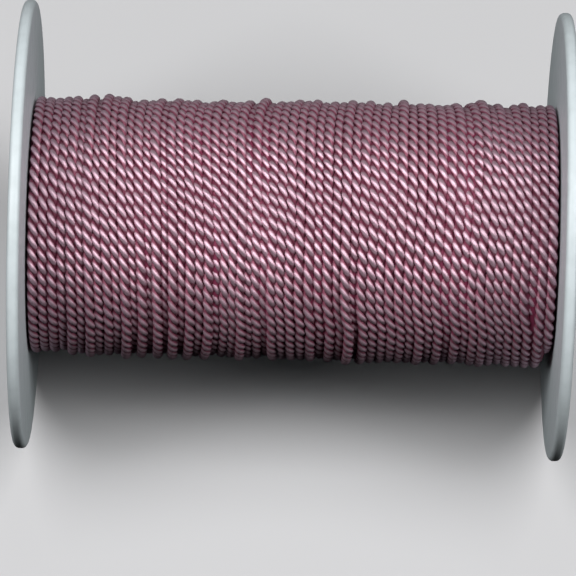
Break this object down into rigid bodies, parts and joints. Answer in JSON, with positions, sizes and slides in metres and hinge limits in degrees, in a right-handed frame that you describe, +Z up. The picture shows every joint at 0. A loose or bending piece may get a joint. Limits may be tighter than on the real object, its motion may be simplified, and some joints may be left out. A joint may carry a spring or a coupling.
{
  "type": "twisted cord wound on a flanged spool",
  "caption": "Slim silky twisted cord wound in close turns on a flanged plastic spool, which lies on its side on the small flats of its rims.",
  "frame": {"origin": "middle of the part's footprint, on the surface that the two rims rest on", "axes": "+X along the spool's axis, +Y away from the pictured side, +Z up"},
  "size_m": [0.091, 0.075, 0.0746],
  "materials": {
    "cord": "dusty mauve-pink silky filament yarn, plied, with a soft sheen along each strand",
    "spool": "smooth moulded white plastic with a faintly cool tone and a satin sheen"
  },
  "bodies": {
    "root": {"flange_left": "spool", "flange_right": "spool", "barrel": "spool", "winding": "cord"}
  },
  "joints": []
}
